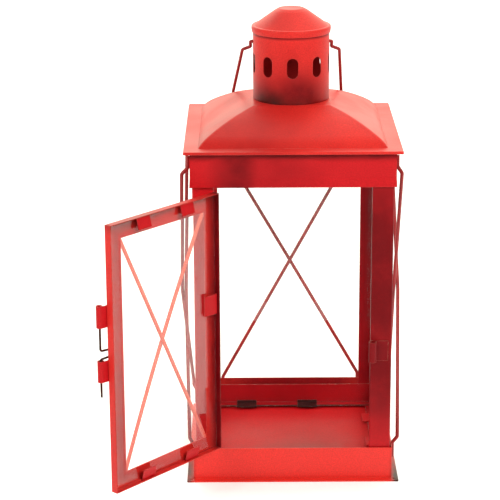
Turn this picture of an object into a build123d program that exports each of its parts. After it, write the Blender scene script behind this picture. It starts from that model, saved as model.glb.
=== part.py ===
from build123d import *
from math import cos, radians, sin
import os

# Barn lantern, in millimetres. Origin: centre of the base, at the plane it stands on. +Z is up.
# The doorway faces -Y and its hinges are on the -X side.
# Rest pose: the door stands open, the latch bolt is down and the bail lies back on the roof.

# Sheet, glass and wire stock
sheet = 0.8
bend = 1.2
glass_thickness = 2.0
guard_wire = 3.5
bail_wire = 3.1
bolt_wire = 2.0
clearance = 0.3

# Base tray and floor
flange_width = 203.0
flange_thickness = 1.4
tray_width = 190.7
tray_height = 32.6
floor_top = 4.2
relief_size = 3.2
slit_width = 0.5

# Corner posts, glass ledges and glass channels
body_width = 186.6
post_face = 20.2
jamb_return = 5.0
ledge_top = 6.7
ledge_lip = 12.7
ledge_upstand = 26.3
channel_bottom = 302.0
channel_top = 322.8
channel_lip = 10.0
ledge_end = 91.0
pane_end = 88.7
pane_front = 91.0
pane_top_gap = 4.0
pane_play = 0.2
ledge_tab_width = 20.5
ledge_tab_centres = (-44.1, 19.3)
ledge_tab_overhang = 5.0

# Head band and roof
band_width = 190.4
band_bottom = 291.5
band_flare = 0.6
band_flare_height = 9.0
eave_width = 202.0
eave_top = 326.5
eave_drop = 2.6
eave_hem = 1.6
eave_round = 1.2
dome_base = 87.4
dome_foot_slope = 56.0
dome_foot_radius = 34.0
dome_foot_turn = 22.0
dome_rise = 28.9
hip_radius = 3.0
roof_opening_radius = 33.0

# Chimney and cap
chimney_radius = 36.3
chimney_top = 424.1
slot_count = 9
slot_width = 10.4
slot_height = 19.2
slot_centre = 390.1
slot_turn = 1.0
cap_rim_bottom = 419.2
cap_rim_radius = 37.75
cap_skirt = 3.2
cap_crease_radius = 34.9
cap_crease = 425.5
cap_disc_radius = 13.4
total_height = 441.5

# Bail
pivot_height = 409.6
pivot_clearance = 0.1
bail_neck_gap = 2.3
bail_neck_drop = 9.5
bail_shoulder = 46.3
bail_shoulder_drop = 14.8
bail_flare_left = 11.6
bail_flare_right = 6.1
bail_reach = 112.0
bail_corner = 16.0
bail_lean = 47.8
bail_stub = 4.0
bail_hook = 3.2

# Guard wires on the back and sides: place along the side at the top and at the foot, then
# standoff from the body at the top, at the crossing and at the foot, then the height of the knee
guards = {
    "back_inner": (77.5, -69.3, 9.2, 8.2, 9.2, 31.0),
    "back_outer": (-79.7, 72.5, 9.4, 12.0, 9.4, 35.0),
    "left_inner": (78.9, -72.3, 9.2, 10.6, 6.9, 39.0),
    "left_outer": (-78.9, 72.3, 9.8, 14.4, 6.6, 39.0),
    "right_inner": (78.9, -72.3, 8.0, 8.3, 9.8, 39.0),
    "right_outer": (-78.9, 72.3, 8.8, 12.2, 8.6, 39.0),
}
guard_top = 317.6
guard_shoulder = 307.0
guard_bend = 300.5
guard_crossing = 162.0
guard_drop = 4.5
guard_return = 10.5
guard_foot = 14.0

# Door
door_angle = -131.36
hinge_x = -73.44
hinge_offset = 2.4
door_width = 140.1
door_depth = 7.5
door_bottom = 37.4
door_top = 289.1
hinge_stile = 14.0
free_stile = 18.0
top_rail = 16.1
bottom_rail = 14.5
pan_round = 0.9
door_glass_gap = 0.5
door_wire = 3.5
door_wire_low = 43.0
door_wire_high = 277.5
door_wire_left = -59.5
door_wire_right = 54.0
door_tab_width = 16.8
door_tab_length = 10.8
door_tab_centres = {"top": (27.1, -29.0), "bottom": (27.3, -31.0)}
side_tab_width = 19.5
side_tab_length = 16.5
side_tab_height = 182.3

# Hinges
hinge_height = 27.6
hinge_centres = {"lower": 108.1, "upper": 210.9}
hinge_leaf_width = 12.8
hinge_pin_radius = 1.55
pin_head = 0.5

# Latch
latch_x = 75.2
latch_offset = 3.7
knuckle_radius = 3.1
knuckle_plate = 16.5
keeper_plate = 14.8
knuckle_spans = {"lower": (143.9, 163.7), "upper": (194.9, 215.2)}
keeper_span = (120.9, 141.0)
bolt_top = 214.0
bolt_upper_arm = 173.0
bolt_arm_fall = 1.8
bolt_lower_arm = 165.1
bolt_tip = 129.5
bolt_grip = 17.5

half_flange = flange_width / 2
half_tray = tray_width / 2
half_body = body_width / 2
half_band = band_width / 2
half_eave = eave_width / 2
half_door = door_width / 2
post_edge = half_body - post_face
post_inside = half_body - sheet
pane_outside = post_inside - sheet - pane_play
pane_inside = pane_outside - glass_thickness
face_y = -half_body
eave_under = eave_top - sheet
chimney_bottom = eave_top + dome_rise
chimney_inside = chimney_radius - sheet
hinge_y = face_y - hinge_offset
latch_y = face_y - latch_offset
door_wire_y = face_y - door_wire / 2

turns = {"back": 0, "left": 90, "right": -90}
nodes = {}


def block(x, y, z):
    """A box given by its low and high limits along each axis."""
    size = Box(x[1] - x[0], y[1] - y[0], z[1] - z[0])
    return Pos((x[0] + x[1]) / 2, (y[0] + y[1]) / 2, (z[0] + z[1]) / 2) * size


def raised(section, low, high):
    """A section in XY, extruded between two heights."""
    return Pos(0, 0, low) * extrude(section, high - low)


def bent_strip(points, half_length, radius=bend):
    """Sheet folded along a centre line of (y, z) points, running along X."""
    section = Plane.YZ * trace(FilletPolyline(*points, radius=radius), sheet)
    return extrude(section, half_length, both=True)


def bent_wire(points, radii, diameter):
    """A round wire with its own bend radius at each inner point."""
    path = FilletPolyline(*points, radius=radii)
    start = Plane(Vector(*points[0]), z_dir=Vector(*points[1]) - Vector(*points[0]))
    return sweep(start * Circle(diameter / 2), path)


def square_tube(outer, inner, low, high, corner):
    """A square tube from its outer and inner half widths, with rounded outer corners."""
    outline = RectangleRounded(2 * outer, 2 * outer, corner) - Rectangle(2 * inner, 2 * inner)
    return raised(outline, low, high)


def wedge(reach):
    """Everything nearer to the back side than to the others, out to a given reach."""
    outline = make_face(Polyline((0, 0), (reach, reach), (-reach, reach), (0, 0)))
    return raised(outline, 0, total_height)


def four_ways(part):
    """Four copies of a part about Z."""
    return [Rot(0, 0, 90 * quarter) * part for quarter in range(4)]


def swung_open(part):
    """A part of the closed door, turned to its rest pose."""
    return Pos(hinge_x, hinge_y) * Rot(0, 0, door_angle) * Pos(-hinge_x, -hinge_y) * part


def make_tray():
    """Four walls and a hemmed flange, slit and relieved where the corners are mitred."""
    tray = square_tube(half_tray, half_tray - sheet, 0, tray_height, bend)
    tray += square_tube(half_flange, half_tray - sheet, 0, flange_thickness, 0.6)
    corner = Pos(half_tray, half_tray) * Rot(0, 0, 45)
    flange_reach = 2 * (half_flange - half_tray)
    slit = corner * Pos(flange_reach / 2, 0) * Box(flange_reach, slit_width, 3 * flange_thickness)
    triangle = Polyline((-0.2, 0), (relief_size, relief_size / 2), (relief_size, -relief_size / 2), (-0.2, 0))
    relief = corner * extrude(make_face(triangle), 2 * flange_thickness, both=True)
    seam = corner * Pos(0, 0, tray_height / 2 + 2) * Box(0.7, slit_width, tray_height)
    return tray - four_ways(slit) - four_ways(relief) - four_ways(seam)


def make_floor():
    half = half_tray - sheet
    return block((-half, half), (-half, half), (floor_top - sheet, floor_top))


def make_post(is_front):
    """An angle at the left of the front or back; the front one turns in at the doorway."""
    line = half_body - sheet / 2
    points = [(-post_edge, line), (-line, line), (-line, post_edge)]
    if is_front:
        points[0] = (-post_edge - sheet / 2, line)
        points.insert(0, (-post_edge - sheet / 2, half_body - jamb_return))
    post = raised(trace(FilletPolyline(*points, radius=bend), sheet), floor_top, eave_under)
    return mirror(post, about=Plane.XZ) if is_front else post


def make_ledge():
    """The folded ledge that the back pane stands on, mitred at its ends."""
    line = post_inside - sheet / 2
    shelf = ledge_top - sheet / 2
    points = [(line, ledge_upstand), (line, shelf), (post_inside - ledge_lip, shelf)]
    return bent_strip(points, ledge_end, 0.6) & wedge(post_inside + 1)


def make_channel():
    """The folded channel that holds the back pane's top edge."""
    line = post_inside - sheet / 2
    web = channel_top - sheet / 2
    inner = pane_inside - pane_play - sheet / 2
    points = [(line, channel_bottom), (line, web), (inner, web), (inner, channel_top - channel_lip)]
    return bent_strip(points, ledge_end, 0.6) & wedge(post_inside + 1)


def make_pane(left, right):
    """A pane at the back, between two limits along X."""
    return block((left, right), (pane_inside, pane_outside), (ledge_top, channel_top - pane_top_gap))


def make_ledge_tabs():
    """Two flat tabs on the back ledge, turned up a little against the pane."""
    level = ledge_top + sheet / 2
    tip = post_inside - ledge_lip - ledge_tab_overhang
    foot = pane_inside - sheet / 2 - 0.1
    points = [(foot, level + 2.2), (foot, level), (tip, level)]
    tab = bent_strip(points, ledge_tab_width / 2)
    return [Pos(centre, 0, 0) * tab for centre in ledge_tab_centres]


def make_band():
    """The upright band under the eave, with its lower edge sprung outwards."""
    line = half_band - sheet / 2
    crease = band_bottom + band_flare_height
    points = [(line, eave_under), (line, crease), (line + band_flare, band_bottom)]
    strip = bent_strip(points, half_band + band_flare, 20.0) & wedge(half_band + band_flare + 1)
    sides = four_ways(strip)
    band = sides[0] + sides[1:]
    rounded = extrude(RectangleRounded(band_width + 2 * band_flare, band_width + 2 * band_flare, bend), total_height)
    return band & rounded


def is_on_diagonal(point):
    """True on the two upright planes that hold the roof's hips."""
    return abs(abs(point.X) - abs(point.Y)) < 0.01


def vault(inset):
    """The dome as a solid: two crossed runs of one curved outline, for a vault with four hips."""
    across = cos(radians(dome_foot_slope))
    upward = sin(radians(dome_foot_slope))
    foot = (dome_base - inset * upward, eave_top - inset * across)
    rise = JernArc(foot, (-across, upward), dome_foot_radius - inset, dome_foot_turn)
    crown = TangentArc(rise @ 1, (chimney_radius, chimney_bottom - inset), tangent=rise % 1)
    rest = Polyline(crown @ 1, (0, chimney_bottom - inset), (0, eave_under - 1), (foot[0], eave_under - 1), foot)
    half = make_face(Curve() + [rise, crown, rest])
    section = Plane.XZ * (half + mirror(half, about=Plane.YZ))
    run = extrude(section, half_eave, both=True)
    crossed = run & (Rot(0, 0, 90) * run)
    hips = [edge for edge in crossed.edges() if is_on_diagonal(edge @ 0.5)]
    return fillet(hips, hip_radius - inset)


def make_roof():
    """A flat eave with a hemmed edge, rising into a four-sided vault that is open to the chimney."""
    plate = raised(RectangleRounded(eave_width, eave_width, 1.6), eave_top - eave_drop, eave_top)
    plate = fillet(plate.faces().sort_by(Axis.Z)[-1].edges(), eave_round)
    hollow = half_eave - eave_hem
    plate -= block((-hollow, hollow), (-hollow, hollow), (0, eave_under))
    dome = vault(0) & block((-half_eave, half_eave), (-half_eave, half_eave), (eave_under, total_height))
    roof = plate + dome - vault(sheet)
    return roof - raised(Circle(roof_opening_radius), eave_under, total_height)


def make_chimney():
    """A tube with a ring of upright slots and two eyes for the bail."""
    chimney = raised(Circle(chimney_radius) - Circle(chimney_inside), chimney_bottom, chimney_top)
    slot = Plane.XZ * Rot(0, 0, 90) * SlotOverall(slot_height, slot_width)
    slot_cut = Pos(0, 0, slot_centre) * extrude(slot, 2 * chimney_radius)
    for number in range(slot_count):
        chimney -= Rot(0, 0, slot_turn + 360 * number / slot_count) * slot_cut
    eye = Plane.YZ * Circle(bail_wire / 2 + pivot_clearance)
    return chimney - Pos(0, 0, pivot_height) * extrude(eye, 2 * chimney_radius, both=True)


def make_cap():
    """A spun cap: a rolled skirt round the chimney's top, a flat shoulder, a cone and a flat disc."""
    half = sheet / 2
    rim = cap_rim_radius - half
    level = total_height - half
    profile = FilletPolyline(
        (rim - 0.6, cap_rim_bottom),
        (rim, cap_rim_bottom + cap_skirt),
        (rim - 0.1, cap_crease - half + 0.2),
        (cap_crease_radius, cap_crease - half),
        (cap_disc_radius + 2.0, level - 2.0),
        (cap_disc_radius - 1.6, level),
        (0, level),
        radius=[1.4, 1.2, 0.6, 2.0, 2.0],
    )
    return revolve(Plane.XZ * trace(profile, sheet), Axis.Z)


def make_bail():
    """The bail: hooked stubs through the chimney, short necks, shoulders, and two legs to the grip."""
    inside = chimney_inside - bail_stub
    neck = chimney_radius + bail_neck_gap
    left = -bail_shoulder - bail_flare_left
    right = bail_shoulder + bail_flare_right
    points = [
        (-inside, 0, bail_hook),
        (-inside, 0, 0),
        (-neck, 0, 0),
        (-neck, 0, -bail_neck_drop),
        (-bail_shoulder, 0, -bail_shoulder_drop),
        (left, 0, -bail_reach),
        (right, 0, -bail_reach),
        (bail_shoulder, 0, -bail_shoulder_drop),
        (neck, 0, -bail_neck_drop),
        (neck, 0, 0),
        (inside, 0, 0),
        (inside, 0, bail_hook),
    ]
    radii = [1.5, 1.5, 2.5, 4.0, bail_corner, bail_corner, 4.0, 2.5, 1.5, 1.5]
    return Pos(0, 0, pivot_height) * Rot(bail_lean, 0, 0) * bent_wire(points, radii, bail_wire)


def make_guard(top, foot, top_standoff, crossing_standoff, foot_standoff, knee):
    """One slanting guard wire at the back, its ends lying on the band and on the tray."""
    on_band = half_band + guard_wire / 2
    on_tray = half_tray + guard_wire / 2
    top_out = half_body + top_standoff
    foot_out = half_body + foot_standoff
    fall = (guard_bend - guard_crossing) / (guard_bend - knee)
    points = [
        (top, on_band, guard_top),
        (top, on_band, guard_shoulder),
        (top, top_out, guard_bend),
        (top + (foot - top) * fall, half_body + crossing_standoff, guard_crossing),
        (foot, foot_out, knee),
        (foot, foot_out, knee - guard_drop),
        (foot, on_tray, knee - guard_return),
        (foot, on_tray, guard_foot),
    ]
    return bent_wire(points, [4.0, 4.0, 60.0, 5.0, 3.0, 3.0], guard_wire)


def make_door_frame():
    """The pressed frame, closed: a flat face with a window and four flanges turned inwards."""
    back = face_y + door_depth
    frame = block((-half_door, half_door), (face_y, back), (door_bottom, door_top))
    frame = fillet(frame.faces().sort_by(Axis.Y)[0].edges(), pan_round)
    inside = half_door - sheet
    frame -= block((-inside, inside), (face_y + sheet, back), (door_bottom + sheet, door_top - sheet))
    window_x = (-half_door + hinge_stile, half_door - free_stile)
    window_z = (door_bottom + bottom_rail, door_top - top_rail)
    frame -= block(window_x, (face_y, back), window_z)
    for x in (-inside, inside):
        for z in (door_bottom, door_top):
            frame -= Pos(x, back, z) * Box(slit_width, 2 * (door_depth - 3 * sheet), 3 * sheet)
    return frame


def make_door_glass():
    inset = sheet + door_glass_gap
    half = half_door - inset
    depth = (face_y + sheet, face_y + sheet + glass_thickness)
    return block((-half, half), depth, (door_bottom + inset, door_top - inset))


def door_tab(width, length, root, tip):
    """A tab on the door's lower flange that rises behind the glass, from one depth to another."""
    half = sheet / 2
    points = [(root - 1.6, half), (root, half), (tip, length)]
    return Pos(0, face_y, sheet) * bent_strip(points, width / 2, 0.5)


def make_door_tabs():
    """Five tabs: two below, two above and one at the hinge side."""
    tab = door_tab(door_tab_width, door_tab_length, 5.0, 7.6)
    tabs = [Pos(x, 0, door_bottom) * tab for x in door_tab_centres["bottom"]]
    upper = mirror(tab, about=Plane.XY)
    tabs += [Pos(x, 0, door_top) * upper for x in door_tab_centres["top"]]
    side = door_tab(side_tab_width, side_tab_length, 4.5, 3.7)
    tabs.append(Pos(-half_door, 0, side_tab_height) * Rot(0, 90, 0) * side)
    return tabs


def make_door_wire(hand, rise):
    """A slanting wire across the door's window; the outer one bows over the inner one."""
    low_x = door_wire_left if hand > 0 else door_wire_right
    high_x = door_wire_right if hand > 0 else door_wire_left
    low = Vector(low_x, door_wire_y, door_wire_low)
    high = Vector(high_x, door_wire_y, door_wire_high)
    middle = (low + high) / 2 - Vector(0, rise, 0)
    path = ThreePointArc(low, middle, high) if rise else Line(low, high)
    return sweep(Plane(low, z_dir=path % 0) * Circle(door_wire / 2), path)


def rolled_strap(plate_end, axis_x, offset, radius):
    """The section of a strap that lies on the front face and is rolled into an eye at one end."""
    ring = radius - sheet / 2
    toward = 1 if axis_x > plate_end else -1
    level = face_y - sheet / 2
    axis_y = face_y - offset
    knee = (axis_x - toward * (radius + 1.5), level)
    plate = Polyline((plate_end, level), knee, (axis_x, axis_y + ring))
    eye = CenterArc((axis_x, axis_y), ring, 90, -toward * 300)
    return trace(plate, sheet) + trace(eye, sheet)


def make_hinge(centre, is_door):
    """One leaf of a butt hinge: outer knuckles on the post's leaf, the middle one on the door's."""
    side = 1 if is_door else -1
    radius = hinge_offset
    section = rolled_strap(hinge_x + side * hinge_leaf_width, hinge_x, hinge_offset, radius)
    low = centre - hinge_height / 2
    high = centre + hinge_height / 2
    third = hinge_height / 3
    leaf = raised(section, low, high)
    reach = radius + clearance
    x = (hinge_x - reach, hinge_x + reach)
    y = (hinge_y - reach, face_y)
    if is_door:
        leaf -= block(x, y, (low, low + third + clearance / 2))
        leaf -= block(x, y, (high - third - clearance / 2, high))
        return leaf
    return leaf - block(x, y, (low + third - clearance / 2, high - third + clearance / 2))


def make_pin(centre):
    """A hinge pin, spread into a small head at each end."""
    low = centre - hinge_height / 2
    high = centre + hinge_height / 2
    pin = raised(Circle(hinge_pin_radius), low, high)
    pin += raised(Circle(hinge_offset - 0.3), low - pin_head, low)
    pin += raised(Circle(hinge_offset - 0.3), high, high + pin_head)
    return Pos(hinge_x, hinge_y) * pin


def make_bolt():
    """The latch bolt: a wire bent into a finger grip between the two knuckles."""
    grip = latch_x - bolt_grip
    points = [
        (latch_x, latch_y, bolt_top),
        (latch_x, latch_y, bolt_upper_arm),
        (grip, latch_y, bolt_upper_arm - bolt_arm_fall),
        (grip, latch_y, bolt_lower_arm),
        (latch_x, latch_y, bolt_lower_arm),
        (latch_x, latch_y, bolt_tip),
    ]
    turn = (bolt_upper_arm - bolt_arm_fall - bolt_lower_arm) / 2 - 0.1
    return bent_wire(points, [2.2, turn, turn, 1.6], bolt_wire)


# Root body
nodes["base_tray"] = make_tray()
nodes["floor_plate"] = make_floor()
nodes["corner_post_back_left"] = make_post(False)
nodes["corner_post_back_right"] = mirror(make_post(False), about=Plane.YZ)
nodes["corner_post_front_left"] = make_post(True)
nodes["corner_post_front_right"] = mirror(make_post(True), about=Plane.YZ)
panes = {
    "back": make_pane(-pane_end, pane_end),
    "left": make_pane(-pane_front, pane_end),
    "right": make_pane(-pane_end, pane_front),
}
for side, turn in turns.items():
    rotation = Rot(0, 0, turn)
    nodes[f"glass_ledge_{side}"] = rotation * make_ledge()
    nodes[f"glass_channel_{side}"] = rotation * make_channel()
    nodes[f"glass_{side}"] = rotation * panes[side]
    nodes[f"glass_tabs_{side}"] = [rotation * tab for tab in make_ledge_tabs()]
    for layer in ("inner", "outer"):
        nodes[f"guard_{side}_{layer}"] = rotation * make_guard(*guards[f"{side}_{layer}"])
nodes["head_band"] = make_band()
nodes["roof"] = make_roof()
nodes["chimney"] = make_chimney()
nodes["chimney_cap"] = make_cap()
keeper = rolled_strap(latch_x + keeper_plate, latch_x, latch_offset, latch_offset)
nodes["keeper_knuckle"] = raised(keeper, *keeper_span)
nodes["hinge_pins"] = [make_pin(centre) for centre in hinge_centres.values()]

# Door, bolt and bail
nodes["door_frame"] = swung_open(make_door_frame())
nodes["door_glass"] = swung_open(make_door_glass())
nodes["door_glass_tabs"] = [swung_open(tab) for tab in make_door_tabs()]
nodes["door_wire_inner"] = swung_open(make_door_wire(1, 0))
nodes["door_wire_outer"] = swung_open(make_door_wire(-1, door_wire + 0.1))
for level, centre in hinge_centres.items():
    nodes[f"{level}_hinge_post_leaf"] = make_hinge(centre, False)
    nodes[f"{level}_hinge_door_leaf"] = swung_open(make_hinge(centre, True))
knuckle = rolled_strap(latch_x - knuckle_plate, latch_x, latch_offset, knuckle_radius)
for level, span in knuckle_spans.items():
    nodes[f"latch_knuckle_{level}"] = swung_open(raised(knuckle, *span))
nodes["latch_bolt"] = swung_open(make_bolt())
nodes["bail_handle"] = make_bail()

os.makedirs("parts", exist_ok=True)
for name, part in nodes.items():
    solids = part if isinstance(part, list) else [part]
    export_step(Compound([solid for piece in solids for solid in piece.solids()]), f"parts/{name}.step")
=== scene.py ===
import bpy
import math
from mathutils import Matrix, Vector


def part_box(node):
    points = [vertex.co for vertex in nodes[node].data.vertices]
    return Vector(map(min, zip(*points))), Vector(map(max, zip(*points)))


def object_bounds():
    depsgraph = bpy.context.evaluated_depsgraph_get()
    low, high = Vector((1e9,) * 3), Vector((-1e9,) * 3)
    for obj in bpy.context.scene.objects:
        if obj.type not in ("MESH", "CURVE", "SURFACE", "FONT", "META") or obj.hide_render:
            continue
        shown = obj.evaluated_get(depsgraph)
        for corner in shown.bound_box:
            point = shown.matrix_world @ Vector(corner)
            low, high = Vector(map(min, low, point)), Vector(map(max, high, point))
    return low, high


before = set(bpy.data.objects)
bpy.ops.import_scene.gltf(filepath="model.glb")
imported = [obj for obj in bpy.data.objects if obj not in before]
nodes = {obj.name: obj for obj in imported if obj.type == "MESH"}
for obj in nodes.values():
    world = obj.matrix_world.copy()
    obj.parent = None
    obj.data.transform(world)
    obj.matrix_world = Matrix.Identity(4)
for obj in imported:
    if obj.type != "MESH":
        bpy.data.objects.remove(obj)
cad_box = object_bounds()


# ---------------------------------------------------------------- colours

# The body's one red comes in lighter and darker copies. The plain red below is the darker copy, painted
# shade for the band, posts and plain parts; the warm red and the tray's red are lighter copies, painted
# light for the roof, chimney, cap, door and tray.
RED_SHADED = (0.54, 0.007, 0.012, 1.0)
RED_WARM_LIT = (0.68, 0.022, 0.018, 1.0)
RED_DEEP = (0.36, 0.003, 0.008, 1.0)
TRAY_RED_LIT = (0.76, 0.028, 0.021, 1.0)
# Darker copies of the red, painted shade: the floor plate inside, the inner parts and the keeper.
FLOOR_PLATE_RED_SHADED = (0.50, 0.008, 0.012, 1.0)
INNER_RED_SHADED = (0.30, 0.002, 0.007, 1.0)
KEEPER_RED_SHADED = (0.22, 0.002, 0.006, 1.0)
# The chimney's inside in a darker red, painted shade.
BORE_SHADE = (0.30, 0.002, 0.004, 1.0)
SHADE = (0.170, 0.000, 0.003, 1.0)
# Near black: soot on the chimney, painted shadow and shade on the tray, floor plate and back ledge, a darker
# top on the door frame, and the tabs' mottle.
SOOT_AND_SHADOW_DARK = (0.030, 0.009, 0.007, 1.0)
# Lighter edge colours: partly scuffed paint and bare metal, partly painted highlight where edges catch
# light.
WORN_AND_HIGHLIGHT = (0.72, 0.26, 0.20, 1.0)
BARE_AND_HIGHLIGHT = (0.46, 0.36, 0.32, 1.0)
# The back tabs' near black, painted shade.
TAB_SHADE_BLACK = (0.022, 0.002, 0.003, 1.0)
WIRE_BROWN = (0.34, 0.022, 0.026, 1.0)
WIRE_DARK = (0.20, 0.010, 0.014, 1.0)
DOOR_WIRE_RED = (0.70, 0.110, 0.070, 1.0)
DOOR_WIRE_DARK = (0.52, 0.050, 0.036, 1.0)
BOLT_BROWN = (0.060, 0.014, 0.010, 1.0)
BOLT_DARK = (0.030, 0.012, 0.010, 1.0)

GLASS_CLEAR = (0.985, 0.982, 0.968, 1.0)
GLASS_HAZE = (0.970, 0.962, 0.945, 1.0)
GLASS_SHADOW = (0.93, 0.94, 0.935, 1.0)

FLOOR_PALE = (0.92, 0.95, 0.98, 1.0)
FLOOR_PALER = (0.94, 0.97, 1.00, 1.0)
GLOW_COLOUR = (0.88, 0.95, 1.0, 1.0)
CARD_BLACK = (0.02, 0.02, 0.02, 1.0)
CARD_GREY = (0.03, 0.03, 0.03, 1.0)
LAMP_COLOUR = (1.0, 0.95, 0.83)
WORLD_COLOUR = (1.0, 0.945, 0.77, 1.0)
WORLD_SEEN = (0.93, 0.93, 0.92, 1.0)


# ---------------------------------------------------------------- settings

# Noise scales of the paint's patterns, from the broadest to the finest, for positions in metres.
CLOUD_SCALE = 17.0
DRIFT_SCALE = 38.0
WAVE_SCALE = 42.0
CHIP_SCALE = 190.0
PEEL_SCALE = 620.0
GRAIN_SCALE = 820.0

# The bevel that finds the edges and the bump's distance, in metres.
EDGE_RADIUS = 0.0008
RELIEF_DEPTH = 0.0008
RELIEF_STRENGTH = 0.05

# The height of the slow waves against the fine peel, and the roughness added along the scuffed and lit
# edges.
WAVE_WEIGHT = 4.0
WORN_ROUGHNESS = 0.2

# How far in from the chimney's outer face the painted shade of its inside starts, and half the width of the
# change.
BORE_DEPTH = 0.0004
BORE_BLEND = 0.0002

GLASS_WAVE_SCALE = 9.0
GLASS_HAZE_SCALE = 6.0
GLASS_IOR = 1.5

# The world's strength in front of the object and behind it.
WORLD_FRONT = 0.12
WORLD_BACK = 2.35

# How far the floor and the dark card in front reach, and how high the card lies over the floor, in metres.
FLOOR_REACH = (-6, 6)
CARD_REACH_X = (-2, 2)
CARD_REACH_Y = (-3.0, -0.25)
CARD_LIFT = 0.004
FLOOR_GLOW = 0.30
TONE_SCALE = 3.0

# Each soft box: its name, place and target in metres, its two sides in metres, and its power in watts.
MIDDLE = (0.0, 0.0, 0.25)
SOFT_BOXES = (
    ("top_softbox", (0.15, 0.20, 1.7), MIDDLE, (1.3, 1.1), 8.0),
    ("key_softbox", (1.10, -1.45, 1.45), MIDDLE, (0.9, 0.9), 28.0),
    ("fill_softbox", (-1.35, -1.10, 1.20), MIDDLE, (0.8, 0.8), 18.0),
    ("back_softbox", (0.0, 2.6, 2.2), (0.0, 2.6, 0.0), (3.0, 2.4), 45.0),
)

# The camera's place in metres, its lens and sensor in millimetres, the furthest that it draws in metres,
# and its turns in degrees.
CAMERA_PLACE = (-0.0409, -1.8118, 0.7606)
CAMERA_LENS = 139.2
CAMERA_SENSOR = 36.0
CAMERA_CLIP_END = 50.0
CAMERA_DOWN = 17.127
CAMERA_YAW = -0.028
CAMERA_ROLL = -0.285


# ---------------------------------------------------------------- darker spots, some of them painted shade and painted shadow

# Each row is a soft darker spot: its centre as fractions of the part's box, its radii in metres and its
# strength. Rows marked below are painted shade or painted shadow. The row on the back ledge is painted on
# all three ledges, in the back ledge's place.
SHADE_SPOTS = {
    "roof": (
        ((0.42, 0.18, 0.35), (0.050, 0.040, 0.030), 0.40),
        ((0.28, 0.14, 0.40), (0.090, 0.090, 0.050), 0.40),
        ((0.22, 0.60, 0.75), (0.020, 0.035, 0.030), 0.30),
        ((0.72, 0.85, 0.60), (0.050, 0.030, 0.030), 0.30),
    ),
    "chimney": (
        ((0.58, 0.00, -0.05), (0.048, 0.070, 0.052), 1.05),
        ((0.20, 0.10, -0.05), (0.044, 0.060, 0.040), 1.00),
        ((0.48, 0.00, 0.45), (0.016, 0.030, 0.030), 0.35),
        ((0.95, 0.20, 0.00), (0.026, 0.040, 0.026), 0.60),
        ((0.30, 1.00, 0.05), (0.050, 0.040, 0.030), 0.90),
        # Painted shade: a thin dark band round the chimney under the cap's rim.
        ((0.50, 0.50, 0.93), (0.300, 0.300, 0.0035), 0.95),
    ),
    "chimney_cap": (
        ((0.34, 0.14, 0.62), (0.022, 0.030, 0.016), 0.22),
        ((0.70, 0.80, 0.70), (0.020, 0.020, 0.012), 0.40),
    ),
    "head_band": (
        ((0.23, 0.0, 0.50), (0.034, 0.030, 0.100), 0.85),
        ((0.38, 0.0, 0.60), (0.070, 0.030, 0.100), 0.40),
        # Painted shadow of the eave along the top of the band.
        ((0.50, 0.0, 1.00), (0.400, 0.030, 0.012), 1.10),
        ((1.0, 0.60, 0.40), (0.020, 0.040, 0.030), 0.55),
        ((0.65, 1.0, 0.50), (0.040, 0.020, 0.028), 0.65),
    ),
    "corner_post_front_right": (
        ((0.5, 0.0, 0.62), (0.120, 0.120, 0.160), 1.05),
        ((0.5, 0.0, 0.30), (0.120, 0.120, 0.075), 0.90),
        ((0.5, 0.0, 0.18), (0.120, 0.120, 0.040), 0.50),
    ),
    "base_tray": (
        # Painted shade on the inside of the tray's back wall.
        ((0.5, 0.96, 0.90), (0.150, 0.018, 0.060), 1.05),
    ),
    "door_frame": (
        ((1.0, 1.0, 0.50), (0.018, 0.018, 0.600), 1.10),
    ),
}

SOOT_AND_SHADOW_SPOTS = {
    "chimney": (
        ((0.22, 0.06, -0.08), (0.034, 0.040, 0.024), 0.80),
        ((0.62, 0.00, -0.08), (0.050, 0.040, 0.018), 0.45),
        ((0.60, 1.00, 0.00), (0.040, 0.026, 0.016), 0.60),
    ),
    "base_tray": (
        # Painted shadow on the front ends of the tray's two sides.
        ((1.0, 0.05, 0.30), (0.010, 0.080, 0.045), 1.10),
        ((0.0, 0.05, 0.30), (0.010, 0.080, 0.045), 1.00),
    ),
    "floor_plate": (
        # Painted shade on the floor plate inside.
        ((0.52, 0.10, 0.5), (0.085, 0.080, 0.05), 0.55),
    ),
    "door_frame": (
        # Darker along the top of the door frame.
        ((0.25, 0.25, 1.0), (0.090, 0.090, 0.012), 0.40),
        ((0.90, 0.90, 1.0), (0.050, 0.050, 0.014), 0.25),
    ),
    "glass_ledge_back": (
        # Painted shadow: a dark line low along the back ledge's front.
        ((0.5, 0.0, 0.12), (0.400, 0.004, 0.005), 1.1),
    ),
}


# ---------------------------------------------------------------- node helpers

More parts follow.
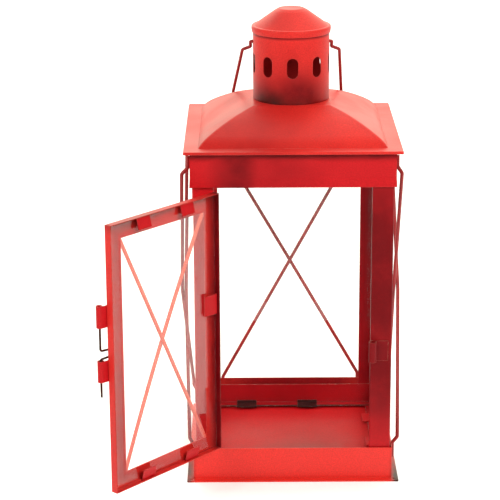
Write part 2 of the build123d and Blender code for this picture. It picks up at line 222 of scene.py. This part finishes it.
class Tree:
    """Short names for building a node tree."""

    def __init__(self, tree):
        self.tree = tree

    def add(self, kind, inputs=None, **settings):
        """A new node with its settings made and its inputs filled or linked."""
        node = self.tree.nodes.new(kind)
        for key, value in settings.items():
            setattr(node, key, value)
        for key, value in (inputs or {}).items():
            self.put(node.inputs[key], value)
        return node

    def put(self, socket, value):
        """Links a socket or a node's first output to a socket, or sets the socket's own value."""
        if isinstance(value, bpy.types.NodeSocket):
            self.tree.links.new(value, socket)
        elif isinstance(value, bpy.types.Node):
            self.tree.links.new(value.outputs[0], socket)
        else:
            socket.default_value = value

    def math(self, operation, a, b, clamp=False):
        return self.add("ShaderNodeMath", {0: a, 1: b}, operation=operation, use_clamp=clamp).outputs[0]

    def vector(self, operation, inputs):
        return self.add("ShaderNodeVectorMath", inputs, operation=operation)

    def noise(self, vector, scale, detail=3.0, roughness=0.5, distortion=0.0):
        inputs = {"Vector": vector, "Scale": scale, "Detail": detail, "Roughness": roughness,
                  "Distortion": distortion}
        return self.add("ShaderNodeTexNoise", inputs).outputs["Fac"]

    def ramp(self, value, low, high, to_low=0.0, to_high=1.0, smooth=True):
        """Maps low..high to to_low..to_high, and holds the ends."""
        inputs = {"Value": value, "From Min": low, "From Max": high, "To Min": to_low, "To Max": to_high}
        kind = "SMOOTHSTEP" if smooth else "LINEAR"
        return self.add("ShaderNodeMapRange", inputs, interpolation_type=kind).outputs["Result"]

    def mix(self, factor, a, b):
        """The colour a where factor is 0 and b where it is 1. Inputs 6 and 7 and output 2 are colours."""
        node = self.add("ShaderNodeMix", data_type="RGBA")
        self.put(node.inputs[0], factor)
        self.put(node.inputs[6], a)
        self.put(node.inputs[7], b)
        return node.outputs[2]

    def patch(self, position, centre, radii):
        """1 near a centre and 0 outside an ellipsoid round it, with a soft edge."""
        offset = self.vector("SUBTRACT", {0: position, 1: centre})
        scaled = self.vector("DIVIDE", {0: offset, 1: radii})
        length = self.vector("LENGTH", {0: scaled}).outputs["Value"]
        return self.ramp(length, 1.0, 0.15)


def new_material(name):
    """A material with an empty node tree but for its output."""
    material = bpy.data.materials.new(name)
    material.use_nodes = True
    material.node_tree.nodes.clear()
    tree = Tree(material.node_tree)
    output = tree.add("ShaderNodeOutputMaterial")
    return material, tree, output


def position_of(tree):
    """Positions in the object's own metres, which stay with it when a joint moves."""
    return tree.add("ShaderNodeTexCoord").outputs["Object"]


# ---------------------------------------------------------------- materials

def spots_of(table, node):
    """A node's rows of a spot table, with their centres in metres."""
    low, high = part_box(node)
    spots = []
    for fractions, radii, strength in table.get(node, ()):
        centre = tuple(low[axis] + part * (high[axis] - low[axis]) for axis, part in enumerate(fractions))
        spots.append((centre, radii, strength))
    return spots


def spots_factor(tree, position, spots, grain):
    """The strongest of several soft spots at each point, broken up by the paint's grain."""
    factor = None
    for centre, radii, strength in spots:
        here = tree.math("MULTIPLY", tree.patch(position, centre, radii), strength)
        factor = here if factor is None else tree.math("MAXIMUM", factor, here)
    drift = tree.noise(position, DRIFT_SCALE, roughness=0.6)
    factor = tree.math("MULTIPLY", factor, tree.ramp(drift, 0.25, 0.75, 0.80, 1.15))
    return tree.math("MULTIPLY", factor, tree.ramp(grain, 0.30, 0.70, 0.86, 1.10), clamp=True)


def inside_factor(tree, position, radius):
    """1 inside an upright tube on the origin and 0 outside it."""
    level = tree.vector("MULTIPLY", {0: position, 1: (1.0, 1.0, 0.0)})
    reach = tree.vector("LENGTH", {0: level}).outputs["Value"]
    return tree.ramp(reach, radius + BORE_BLEND, radius - BORE_BLEND)


def paint(name, spotted=None, bore=0.0, base=RED_SHADED, deep=RED_DEEP, mottle=0.35, wear_and_highlight=0.30, worn_and_lit_colour=WORN_AND_HIGHLIGHT,
          roughness=0.42, ior=1.27):
    """Sprayed red paint: cloudy, grainy, darkened in soft spots, and lighter along its edges.

    Some spots are soot, and the marked ones in the spot tables are painted shade or painted shadow. The
    lighter edges are partly scuffed paint and partly a painted highlight where edges catch light.

    spotted is the node whose rows in the spot tables say where its spots lie. bore is the radius inside
    which it takes the darker red of the chimney's inside, which is painted shade.
    """
    material, tree, output = new_material(name)
    position = position_of(tree)
    cloud = tree.noise(position, CLOUD_SCALE, distortion=0.4)
    grain = tree.noise(position, GRAIN_SCALE, roughness=0.65)
    colour = tree.mix(tree.ramp(cloud, 0.38, 0.70, 0.0, mottle), base, deep)
    # Darker spots: soot, and where marked in the tables, painted shade and painted shadow.
    for table, spot_colour in ((SHADE_SPOTS, SHADE), (SOOT_AND_SHADOW_SPOTS, SOOT_AND_SHADOW_DARK)):
        spots = spots_of(table, spotted) if spotted else []
        if spots:
            colour = tree.mix(spots_factor(tree, position, spots, grain), colour, spot_colour)
    # Painted shade: the chimney's inside turns a darker red.
    if bore:
        colour = tree.mix(inside_factor(tree, position, bore), colour, BORE_SHADE)
    tone = tree.ramp(grain, 0.30, 0.70, 0.82, 1.14, smooth=False)
    colour = tree.vector("SCALE", {0: colour, "Scale": tone}).outputs["Vector"]

    # The bevel node's normal turns away from the face's near an edge. There the paint turns lighter: partly
    # scuffed paint, partly a painted highlight where the edge catches light.
    edge = tree.add("ShaderNodeBevel", {"Radius": EDGE_RADIUS}, samples=4)
    normal = tree.add("ShaderNodeNewGeometry").outputs["Normal"]
    facing = tree.vector("DOT_PRODUCT", {0: edge, 1: normal})
    on_edge = tree.ramp(facing.outputs["Value"], 0.995, 0.88)
    specks = tree.noise(position, CHIP_SCALE, detail=5.0, roughness=0.7)
    chips_and_glints = tree.ramp(specks, 0.46, 0.64, 0.25, 1.0)
    rubbed_and_lit_edges = tree.math("MULTIPLY", tree.math("MULTIPLY", on_edge, chips_and_glints), wear_and_highlight)
    colour = tree.mix(rubbed_and_lit_edges, colour, worn_and_lit_colour)

    waves = tree.noise(position, WAVE_SCALE, detail=2.0)
    peel = tree.noise(position, PEEL_SCALE, detail=2.0)
    height = tree.math("ADD", peel, tree.math("MULTIPLY", waves, WAVE_WEIGHT))
    relief = {"Strength": RELIEF_STRENGTH, "Distance": RELIEF_DEPTH, "Height": height, "Normal": edge}
    bump = tree.add("ShaderNodeBump", relief)
    gloss = tree.ramp(cloud, 0.30, 0.70, roughness + 0.05, roughness - 0.04)
    rough = tree.math("ADD", gloss, tree.math("MULTIPLY", rubbed_and_lit_edges, WORN_ROUGHNESS))
    shader = tree.add("ShaderNodeBsdfPrincipled", {"Base Color": colour, "Roughness": rough, "Normal": bump})
    shader.inputs["IOR"].default_value = ior
    tree.put(output.inputs["Surface"], shader.outputs["BSDF"])
    return material


def glass(name):
    """Window glass: clear, with faint waves and a warm tinge. Shadow rays pass through it."""
    material, tree, output = new_material(name)
    position = position_of(tree)
    waves = tree.noise(position, GLASS_WAVE_SCALE, detail=2.0, roughness=0.4)
    bump = tree.add("ShaderNodeBump", {"Strength": 0.02, "Distance": 0.0004, "Height": waves})
    cloud = tree.noise(position, GLASS_HAZE_SCALE, detail=4.0, roughness=0.6)
    haze = tree.ramp(cloud, 0.35, 0.75)
    tint = tree.mix(haze, GLASS_CLEAR, GLASS_HAZE)
    clear = tree.add("ShaderNodeBsdfPrincipled", {"Base Color": tint, "Normal": bump})
    clear.inputs["Roughness"].default_value = 0.0
    clear.inputs["IOR"].default_value = GLASS_IOR
    clear.inputs["Transmission Weight"].default_value = 1.0
    through = tree.add("ShaderNodeBsdfTransparent")
    through.inputs["Color"].default_value = GLASS_SHADOW
    path = tree.add("ShaderNodeLightPath")
    blend_inputs = {0: path.outputs["Is Shadow Ray"], 1: clear.outputs[0], 2: through.outputs[0]}
    mixed = tree.add("ShaderNodeMixShader", blend_inputs)
    tree.put(output.inputs["Surface"], mixed.outputs[0])
    return material


def make_materials():
    """Every material, by the one node or the kind of node that wears it."""
    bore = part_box("chimney")[1].x - BORE_DEPTH
    # The warm red is a lighter copy, painted light; parts left on the default red wear the darker copy,
    # painted shade.
    warm = {"base": RED_WARM_LIT, "ior": 1.32}
    return {
        "roof": paint("roof_lit_paint", "roof", mottle=0.25, **warm),
        "chimney": paint("chimney_paint", "chimney", bore, mottle=0.30, **warm),
        "chimney_cap": paint("cap_lit_paint", "chimney_cap", mottle=0.35, **warm),
        "head_band": paint("band_shaded_paint", "head_band", mottle=0.2),
        "corner_post_front_right": paint("right_post_shaded_paint", "corner_post_front_right", mottle=0.15),
        # Painted shade: the keeper is a much darker copy of the red.
        "keeper_knuckle": paint("keeper_shaded_paint", base=KEEPER_RED_SHADED, deep=SHADE, wear_and_highlight=0.9),
        # Painted light: the tray is a lighter copy of the red.
        "base_tray": paint("tray_lit_paint", "base_tray", base=TRAY_RED_LIT, deep=RED_WARM_LIT, mottle=0.15, wear_and_highlight=0.25,
                           ior=1.38),
        # Painted shade: the floor plate inside is a darker copy of the red.
        "floor_plate": paint("floor_plate_shaded_paint", "floor_plate", base=FLOOR_PLATE_RED_SHADED, mottle=0.2, ior=1.22),
        "door_frame": paint("door_lit_paint", "door_frame", mottle=0.2, **warm),
        "plain": paint("body_paint"),
        "fitting": paint("fitting_shaded_paint", mottle=0.2, wear_and_highlight=0.45),
        # Painted shade: the glass channels and the back right post are a darker copy of the red.
        "inner": paint("inner_shaded_paint", base=INNER_RED_SHADED, deep=SHADE),
        # Painted shade: the ledges are in the deep red; their lighter edges are partly painted highlight.
        "ledge": paint("ledge_shaded_paint", "glass_ledge_back", base=RED_DEEP, deep=SHADE, wear_and_highlight=1.0, worn_and_lit_colour=BARE_AND_HIGHLIGHT),
        # Painted shade: the back tabs are near black.
        "tab": paint("tab_shaded_paint", base=TAB_SHADE_BLACK, deep=SOOT_AND_SHADOW_DARK, mottle=0.8, wear_and_highlight=0.5, worn_and_lit_colour=BARE_AND_HIGHLIGHT),
        "wire": paint("wire_paint", base=WIRE_BROWN, deep=WIRE_DARK, mottle=0.6, wear_and_highlight=0.0, ior=1.36),
        "door_wire": paint("door_wire_paint", base=DOOR_WIRE_RED, deep=DOOR_WIRE_DARK, wear_and_highlight=0.0),
        "bolt": paint("bolt_metal", base=BOLT_BROWN, deep=BOLT_DARK, wear_and_highlight=0.0, roughness=0.36),
        "glass": glass("pane_glass"),
    }


def kind_of(name):
    """The key of the material that a node wears."""
    if name in materials:
        return name
    if name in ("glass_back", "glass_left", "glass_right", "door_glass"):
        return "glass"
    if name in ("latch_bolt", "hinge_pins"):
        return "bolt"
    if name in ("door_wire_inner", "door_wire_outer"):
        return "door_wire"
    if name.startswith("guard_") or name == "bail_handle":
        return "wire"
    if name.startswith("glass_ledge"):
        return "ledge"
    if name == "glass_tabs_back":
        return "tab"
    if name.startswith("glass_channel") or name == "corner_post_back_right":
        return "inner"
    if "knuckle" in name or "leaf" in name or "tabs" in name:
        return "fitting"
    return "plain"


materials = make_materials()
for name, node in nodes.items():
    node.data.materials.clear()
    node.data.materials.append(materials[kind_of(name)])


# ---------------------------------------------------------------- stage, light and camera

def staged_sheet(name, x, y, z, tone_a, tone_b, roughness, glow=0.0):
    """A level sheet of the stage, with a faint cloudy tone and perhaps a glow of its own."""
    mesh = bpy.data.meshes.new(name)
    corners = [(x[0], y[0], z), (x[1], y[0], z), (x[1], y[1], z), (x[0], y[1], z)]
    mesh.from_pydata(corners, [], [(0, 1, 2, 3)])
    sheet = bpy.data.objects.new(name, mesh)
    bpy.context.scene.collection.objects.link(sheet)
    material, tree, output = new_material(name + "_surface")
    tone = tree.mix(tree.noise(position_of(tree), TONE_SCALE), tone_a, tone_b)
    shader = tree.add("ShaderNodeBsdfPrincipled", {"Base Color": tone})
    shader.inputs["Roughness"].default_value = roughness
    shader.inputs["Emission Color"].default_value = GLOW_COLOUR
    shader.inputs["Emission Strength"].default_value = glow
    tree.put(output.inputs["Surface"], shader.outputs["BSDF"])
    mesh.materials.append(material)
    return sheet


def make_floor():
    """The pale floor, and over it in front a dark card, which only shows in reflections."""
    low = cad_box[0].z
    staged_sheet("floor", FLOOR_REACH, FLOOR_REACH, low, FLOOR_PALE, FLOOR_PALER, roughness=0.7,
                 glow=FLOOR_GLOW)
    card = staged_sheet("dark_card", CARD_REACH_X, CARD_REACH_Y, low + CARD_LIFT, CARD_BLACK, CARD_GREY,
                        roughness=0.9)
    card.visible_camera = False
    card.visible_diffuse = False
    card.visible_transmission = False
    card.visible_shadow = False


def soft_box(name, place, target, size, power):
    """A rectangular area light that faces its target and that the camera doesn't see."""
    data = bpy.data.lights.new(name, "AREA")
    data.shape = "RECTANGLE"
    data.size, data.size_y = size
    data.energy = power
    data.color = LAMP_COLOUR
    light = bpy.data.objects.new(name, data)
    light.location = place
    light.rotation_euler = (Vector(target) - Vector(place)).to_track_quat("-Z", "Y").to_euler()
    light.visible_camera = False
    bpy.context.scene.collection.objects.link(light)


def make_world():
    """Warm surroundings, bright behind the object and dim in front. The camera sees plain pale grey."""
    world = bpy.data.worlds.new("studio")
    bpy.context.scene.world = world
    world.use_nodes = True
    tree = Tree(world.node_tree)
    direction = tree.add("ShaderNodeTexCoord").outputs["Generated"]
    parts = tree.add("ShaderNodeSeparateXYZ", {0: direction})
    strength = tree.ramp(parts.outputs["Y"], 0.10, 0.95, WORLD_FRONT, WORLD_BACK)
    light = world.node_tree.nodes["Background"]
    light.inputs["Color"].default_value = WORLD_COLOUR
    tree.put(light.inputs["Strength"], strength)
    seen = tree.add("ShaderNodeBackground", {"Color": WORLD_SEEN})
    path = tree.add("ShaderNodeLightPath")
    mixed = tree.add("ShaderNodeMixShader", {0: path.outputs["Is Camera Ray"], 1: light, 2: seen})
    tree.put(world.node_tree.nodes["World Output"].inputs["Surface"], mixed)


def make_camera():
    """The camera at the photograph's viewing angle, tilted down and very slightly turned and rolled."""
    data = bpy.data.cameras.new("camera")
    data.sensor_width = CAMERA_SENSOR
    data.lens = CAMERA_LENS
    data.clip_end = CAMERA_CLIP_END
    camera = bpy.data.objects.new("camera", data)
    camera.location = CAMERA_PLACE
    tilt = math.radians(90.0 - CAMERA_DOWN)
    yaw = math.radians(CAMERA_YAW)
    roll = math.radians(CAMERA_ROLL)
    turn = Matrix.Rotation(yaw, 3, "Z") @ Matrix.Rotation(tilt, 3, "X") @ Matrix.Rotation(roll, 3, "Z")
    camera.rotation_euler = turn.to_euler()
    bpy.context.scene.collection.objects.link(camera)
    bpy.context.scene.camera = camera


make_floor()
make_world()
for row in SOFT_BOXES:
    soft_box(*row)
make_camera()
bpy.context.scene.view_settings.view_transform = "Standard"
